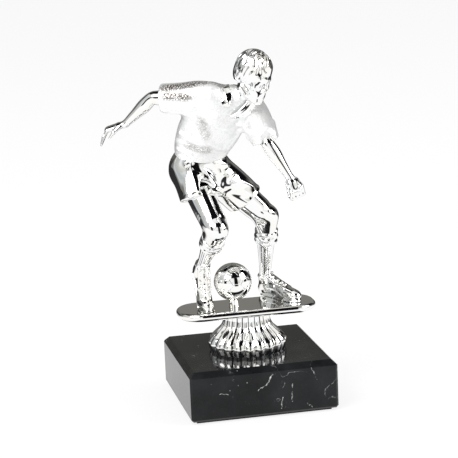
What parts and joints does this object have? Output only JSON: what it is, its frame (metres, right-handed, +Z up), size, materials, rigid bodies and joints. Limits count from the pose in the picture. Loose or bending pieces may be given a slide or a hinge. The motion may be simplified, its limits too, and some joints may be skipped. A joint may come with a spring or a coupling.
{
  "type": "figure trophy",
  "caption": "Chrome-look footballer with a ball on an oblong plate and ribbed riser, bolted to a polished black marble block.",
  "frame": {"origin": "centre of the felt underside, where the trophy stands", "axes": "+Z up, -Y towards the front, +X to the viewer's right when looking at the front"},
  "size_m": [0.085, 0.0692, 0.1455],
  "materials": {
    "marble": "polished black marble",
    "felt": "felt",
    "steel": "zinc plated",
    "chrome": "vacuum metallised plastic, mirror",
    "satin_chrome": "vacuum metallised plastic, stippled"
  },
  "bodies": {
    "root": {"marble_block": "marble", "felt_sheet": "felt", "tie_rod": "steel", "rod_washer": "steel", "rod_nut": "steel", "anchor_nut": "steel", "fluted_riser": "chrome", "platform": "chrome", "ball": "chrome", "ball_peg": "chrome", "shirt": "satin_chrome", "collar": "chrome", "head": "chrome", "right_arm": "chrome", "left_arm": "chrome", "shorts": "chrome", "right_leg": "chrome", "left_leg": "chrome", "right_sock": "chrome", "left_sock": "chrome", "right_boot": "chrome", "left_boot": "chrome"}
  },
  "joints": []
}
